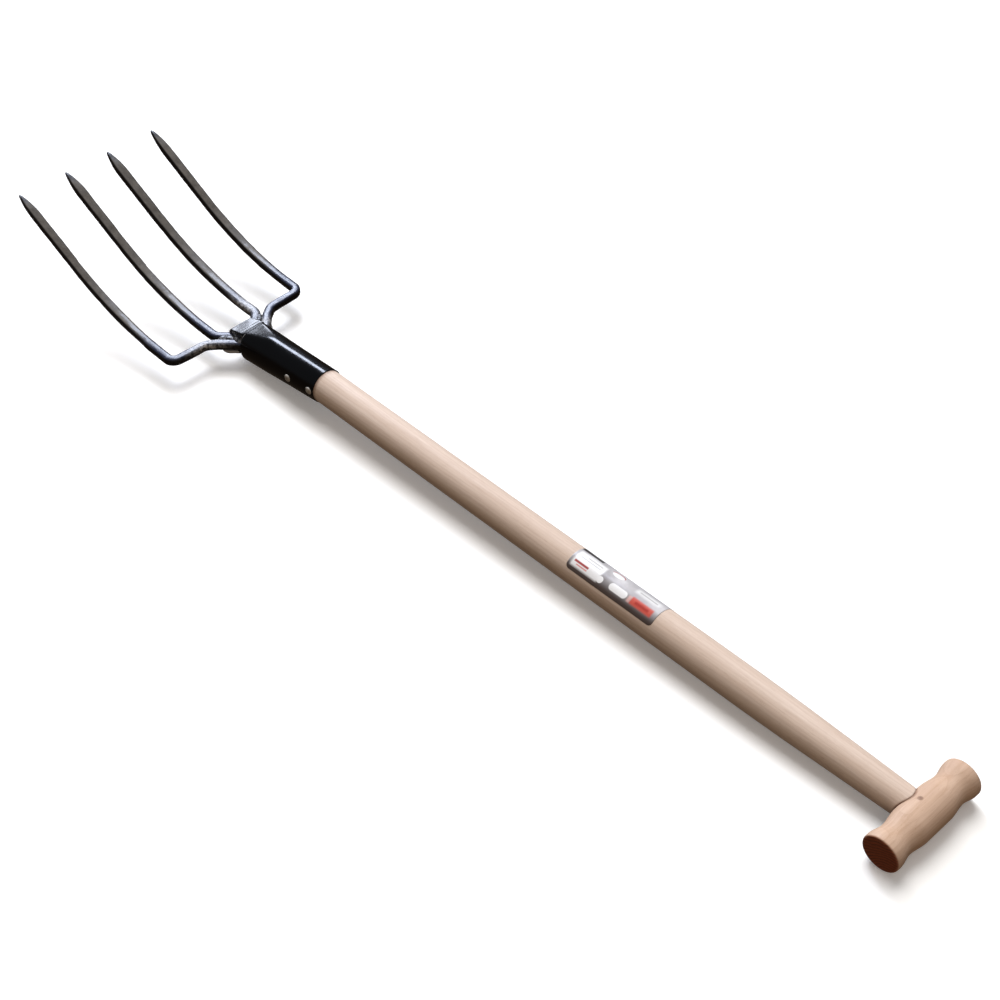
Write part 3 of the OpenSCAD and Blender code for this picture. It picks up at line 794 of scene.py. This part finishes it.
def make_tine(name, path, side, seed, steps=(), raw_at=None, wide=0.0):
    """A forged square bar with steps of (x, side of the bar, how much wider beyond it) in its edges.

    raw_at is the middle and size of its bare patch. wide is added to its half width.
    """
    n = 44
    head = unit(np.gradient(path, axis=0))
    slant = side_angle(path[:, 0])
    left = distances(path[::-1])[::-1] / np.cos(slant)
    rings, painted_sheen_tops, tips, ends, raws = [], [], [], [], []
    for i, (x, y) in enumerate(path):
        w = float(taper(BAR_W / 2 + 0.1 + wide, left[i]))
        h = float(taper(BAR_T / 2 + 0.1, left[i]))
        r = min(2.3 - 0.9 * float(smooth((x - BEND_X - 30) / 60)), 0.6 * min(w, h))
        cu, cv = section(w, h, r)
        crown = 0.4 - 0.3 * float(smooth((x - BEND_X - 60) / 60))
        cu, cv = (
            cu + crown * (cu / w) ** 5 * (1 - (cv / h) ** 2) * min(1, w / 4),
            cv + crown * (cv / h) ** 5 * (1 - (cu / w) ** 2) * min(1, h / 4),
        )
        wider = np.zeros(n)
        for start, ss, amount in steps:
            wider += np.where(cu * ss > 0, amount * smooth((x - start) / 2.4), 0) * min(1.0, left[i] / 24)
        across = np.array((-head[i, 1], head[i, 0], 0.0))
        up = np.array((-math.sin(slant[i]), 0.0, math.cos(slant[i])))
        centre = np.array((x, y, float(side_z(x))))
        rings.append(centre + np.outer(cu + np.sign(cu) * wider, across) + np.outer(cv, up))
        # top: the bar's upper face, where the steel's colour is lightened as a painted sheen
        painted_sheen_tops.append(smooth((cv - h + 0.75 * r) / (0.6 * r)) * smooth((0.97 * w - np.abs(cu)) / (0.3 * w)))
        tips.append(np.full(n, smooth((x - BEND_X - 14) / 60)))
        ends.append(np.full(n, 1 - smooth((left[i] - 5) / 12)))
        near = 0
        if raw_at is not None:
            near = math.exp(-(((x - raw_at[0]) / raw_at[2]) ** 2) - ((y - raw_at[1]) / raw_at[2]) ** 2)
        raws.append(near * smooth((cv / h + 0.5) / 0.8))
    rings = capped(rings, [0.75, 0.3], [0.7, 0.2], (0.9, 0, 0.45))
    none, full = [np.zeros(n)] * 2, [np.ones(n)] * 2
    top, raw = np.concatenate(none + painted_sheen_tops + none), np.concatenate(none + raws + none)
    tip, end = np.concatenate(none + tips + full), np.concatenate(none + ends + full)
    p = np.concatenate(rings)
    out = p - np.repeat([ring.mean(0) for ring in rings], n, axis=0)
    size = np.linalg.norm(out, axis=1)
    q = p + (seed * 31.0, 0, 0)
    forging = bumps(q * (0.6, 0.6, 1), 13, seed, 2) * 0.24 + bumps(q, 4.5, seed + 2, 2) * 0.07
    if raw_at is not None:
        forging += bumps(q, 2.2, seed + 4, 3) * 0.16 * raw
    p += unit(out) * ((forging - 0.06) * smooth(size / 2.5))[:, None]
    p[:, 1] *= side
    faces = skin(rings)
    if side < 0:
        faces = [f[::-1] for f in faces]
    add(name + "_forged", name, "forged_steel", forged, p, faces, top=top, tips=tip, end=end, raw=raw)


# ---- Welds ----


def make_weld(name, a, b, r, pitch, seed, flat=1.0, drops=()):
    """A run of weld from a to b with a ripple at every pitch, and (x, y, z, radius) drops beside it."""
    a, b = np.asarray(a, float), np.asarray(b, float)
    long = float(np.linalg.norm(b - a))
    d = (b - a) / long
    side = unit(np.cross((0, 0, 1.0), d))
    up = np.cross(d, side)
    n = 40
    t = circle(n)
    over = r * 0.55
    rings = []
    for s in np.linspace(-over, long + over, 60):
        inside = min(s + over, long + over - s)
        q = r * math.sqrt(max(0.02, 1 - (1 - min(1, inside / r)) ** 2))
        lag = 0.35 * r * np.abs(np.sin(t))  # ripples are crescents
        q = q * (1 + 0.07 * np.abs(np.sin(math.pi * (s + lag) / pitch)))
        rings.append(a + d * s + np.outer(np.cos(t) * q, side) + np.outer(np.sin(t) * q * flat, up))
    rings = capped(rings, [0.7, 0.2])
    p = np.concatenate(rings)
    out = unit(p - np.repeat([ring.mean(0) for ring in rings], n, axis=0))
    p += out * (bumps(p, 2.4, seed, 3) * 0.22 * r / 3 - 0.15)[:, None]
    points, faces, total = [p], skin(rings), len(p)
    for x, y, z, radius in drops:
        angles = [math.pi * i / 8 for i in range(1, 8)]
        ball = lathe([(-radius * math.cos(a), radius * math.sin(a)) for a in angles], "x", 16)
        q = np.concatenate(ball)
        q = q * (1 + 0.25 * bumps(q, radius, seed + x, 2))[:, None] * (1.1, 1.0, 0.75) + (x, y, z)
        points.append(q)
        faces += skin(ball, total)
        total += len(q)
    add(name + "_run", name, "weld_metal", weld, np.concatenate(points), faces)


# ---- Label ----


def make_label():
    """A thin film with rounded corners, slightly wrinkled and lifting a little at its ends."""
    width = (LABEL_TO - LABEL_FROM) * SHAFT_R
    corner_r, nu, nv = 4.5, 120, 70
    outer, inner, us, vs = [], [], [], []
    for j in range(nv):
        v = width * (1 - math.cos(math.pi * j / (nv - 1))) / 2
        past = max(0.0, corner_r - v, v - (width - corner_r))
        cut = corner_r - math.sqrt(max(0.0, corner_r**2 - past**2))
        a = LABEL_FROM + v / SHAFT_R
        for i in range(nu):
            u = cut + (LABEL - 2 * cut) * i / (nu - 1)
            wrinkle = 0.05 * noise.fractal(Vector((u / 14, v / 6, 2.0)), 1.0, 2.0, 2)
            loose = smooth(0.5 + noise.noise(Vector((v / 5, 1.0, 3.0))))
            lift = 0.10 * math.exp(-(min(u, LABEL - u) / 3) ** 2) * loose
            for r, face in ((SHAFT_R + 0.14 + wrinkle + lift, outer), (SHAFT_R - 0.15, inner)):
                face.append((LABEL_X + u, r * math.cos(a), r * math.sin(a)))
            us.append(u)
            vs.append(v)
    m = nu * nv
    faces = []
    for j in range(nv - 1):
        for i in range(nu - 1):
            a = j * nu + i
            faces.append((a, a + nu, a + nu + 1, a + 1))
            faces.append((m + a, m + a + 1, m + a + nu + 1, m + a + nu))
    rim = [i for i in range(nu)] + [j * nu + nu - 1 for j in range(1, nv)]
    rim += [(nv - 1) * nu + i for i in range(nu - 2, -1, -1)] + [j * nu for j in range(nv - 2, 0, -1)]
    for a, b in zip(rim, rim[1:] + rim[:1]):
        faces.append((a, b, m + b, m + a))
    add(
        "label_wrap", "label", "label_film", label_film(), np.array(outer + inner), faces,
        along=us * 2, round=vs * 2,
    )


make_shaft()
make_handle()
make_nail()
make_socket()
for rivet, (x, z, seed) in RIVETS.items():
    make_rivet(rivet, x, z, seed)
make_tine("tine_outer_left", OUTER, 1, 1.0, [(1068, -1, 0.45), (946, 1, -0.5)], (HEEL + 28, 44, 19))
make_tine("tine_inner_left", INNER, 1, 2.0, [(1030, -1, 0.5)])
make_tine("tine_inner_right", INNER, -1, 3.0, [(1060, -1, 0.3)], (HEEL + 49, 26.5, 17), 0.35)
make_tine("tine_outer_right", OUTER, -1, 4.0, [(1004, 1, 0.2)], (HEEL + 12, 22, 8))
for word, s in (("left", 1), ("right", -1)):
    make_weld(
        "weld_seam_" + word, (HEEL + 15, s * 17.5, BAR_Z), (HEEL + 25, s * 26.2, BAR_Z),
        5.4, 2.4, 3.0 + s, 0.92,
    )
    make_weld(
        "weld_nose_" + word, (HEEL + 2, s * 16.9, BAR_TOP + 0.6), (HEEL + 10, s * 16.9, BAR_TOP + 0.6),
        2.6, 1.7, 7.0 + s, 1.0,
        [(HEEL + 4, s * 17.4, BAR_TOP + 2.2, 1.2), (HEEL + 11.0, s * 16.4, BAR_TOP + 1.0, 1.3)],
    )
make_weld("weld_heel", (HEEL + 1, -12, BAR_BOTTOM - 3.6), (HEEL + 1, 12, BAR_BOTTOM - 3.6), 2.6, 2.2, 5.0)
make_label()


# ---- Floor, light and camera ----

lo, hi = cad_box
centre = (lo + hi) / 2


def add_floor():
    """A plain pale floor that gloss doesn't show, so that black paint stays black beside it."""
    far = 30
    mesh = bpy.data.meshes.new("floor")
    mesh.from_pydata([(-far, -far, 0), (far, -far, 0), (far, far, 0), (-far, far, 0)], [], [(0, 1, 2, 3)])
    pale = Shader(
        "floor_pale", Roughness=0.9, Specular_IOR_Level=0.1,
        Emission_Color=(1, 1, 1, 1), Emission_Strength=0.15,
    )
    mesh.materials.append(pale.finish(lin(251, 251, 250)))
    floor = bpy.data.objects.new("floor", mesh)
    floor.location.z = lo.z
    floor.visible_glossy = False
    floor.visible_diffuse = False
    bpy.context.scene.collection.objects.link(floor)


def aim(o, toward):
    """Turns a light to shine from this direction, and adds it."""
    o.rotation_mode = "QUATERNION"
    o.rotation_quaternion = Vector(toward).normalized().to_track_quat("Z", "Y")
    bpy.context.scene.collection.objects.link(o)


def area(name, toward, distance, width, height, watts, color):
    """A rectangular light that faces the middle of the fork from this direction."""
    data = bpy.data.lights.new(name, "AREA")
    data.shape = "RECTANGLE"
    data.size, data.size_y, data.energy, data.color = width, height, watts, color
    o = bpy.data.objects.new(name, data)
    o.location = centre + Vector(toward).normalized() * distance
    aim(o, toward)


def sun(name, toward, strength, angle, color):
    """An even soft light from this direction, as wide as this angle, that gloss doesn't show."""
    data = bpy.data.lights.new(name, "SUN")
    data.energy, data.angle, data.color = strength, math.radians(angle), color
    o = bpy.data.objects.new(name, data)
    o.visible_glossy = False
    aim(o, toward)


def compass(azimuth, elevation):
    """The direction at these angles, in degrees."""
    a, e = math.radians(azimuth), math.radians(elevation)
    return (math.cos(a) * math.cos(e), math.sin(a) * math.cos(e), math.sin(e))


def make_world():
    """A dim studio, warm low down and cool above. The camera sees a pale wall past the floor's edge."""
    world = bpy.data.worlds.new("studio")
    world.use_nodes = True
    nodes, link = world.node_tree.nodes, world.node_tree.links.new
    sky = nodes["Background"]
    sky.inputs["Strength"].default_value = 0.09
    height = nodes.new("ShaderNodeSeparateXYZ")
    link(nodes.new("ShaderNodeTexCoord").outputs["Generated"], height.inputs[0])
    ramp = nodes.new("ShaderNodeValToRGB")
    low, high = ramp.color_ramp.elements
    low.position, low.color = 0.0, (0.46, 0.33, 0.24, 1)
    high.position, high.color = 0.25, (0.86, 0.90, 1.0, 1)
    link(height.outputs["Z"], ramp.inputs[0])
    link(ramp.outputs["Color"], sky.inputs["Color"])
    wall = nodes.new("ShaderNodeBackground")
    wall.inputs["Color"].default_value = (0.93, 0.93, 0.92, 1)
    seen = nodes.new("ShaderNodeMixShader")
    link(nodes.new("ShaderNodeLightPath").outputs["Is Camera Ray"], seen.inputs[0])
    link(sky.outputs[0], seen.inputs[1])
    link(wall.outputs[0], seen.inputs[2])
    link(seen.outputs[0], nodes["World Output"].inputs["Surface"])
    bpy.context.scene.world = world


def make_camera():
    """A camera of this lens at this place in the design frame, looking against back, rolled a little."""
    data = bpy.data.cameras.new("camera")
    data.sensor_width, data.lens = 36.0, 66.83
    place_mm, back, roll = (-438.55, 836.46, 1236.20), (-0.533, 0.478, 0.698), math.radians(2.34)
    back = Vector(back).normalized()
    right = Vector((0, 0, 1)).cross(back).normalized()
    up = back.cross(right)
    right, up = right * math.cos(roll) - up * math.sin(roll), up * math.cos(roll) + right * math.sin(roll)
    turn = Matrix([direction(v) for v in (right, up, back)]).transposed().to_4x4()
    turn.translation = Vector(place(place_mm)[0])
    eye = bpy.data.objects.new("camera", data)
    eye.matrix_world = turn
    bpy.context.scene.collection.objects.link(eye)
    bpy.context.scene.camera = eye


add_floor()
sun("key", compass(-38, 58), 2.65, 42, (1.0, 0.985, 0.97))
sun("overhead", compass(-80, 70), 0.45, 60, (0.97, 0.985, 1.0))
sun("fill", compass(138, 16), 0.84, 100, (1.0, 0.75, 0.52))
area("strip_line", compass(-28, 32), 3.0, 0.55, 0.5, 14, (0.76, 0.83, 1.0))
area("strip_high", compass(-34, 48), 3.0, 0.65, 0.8, 24, (0.76, 0.83, 1.0))
area("strip_low", compass(-26, 9), 3.0, 1.0, 0.5, 15, (0.80, 0.86, 1.0))
make_world()
make_camera()
bpy.context.scene.view_settings.view_transform = "Standard"
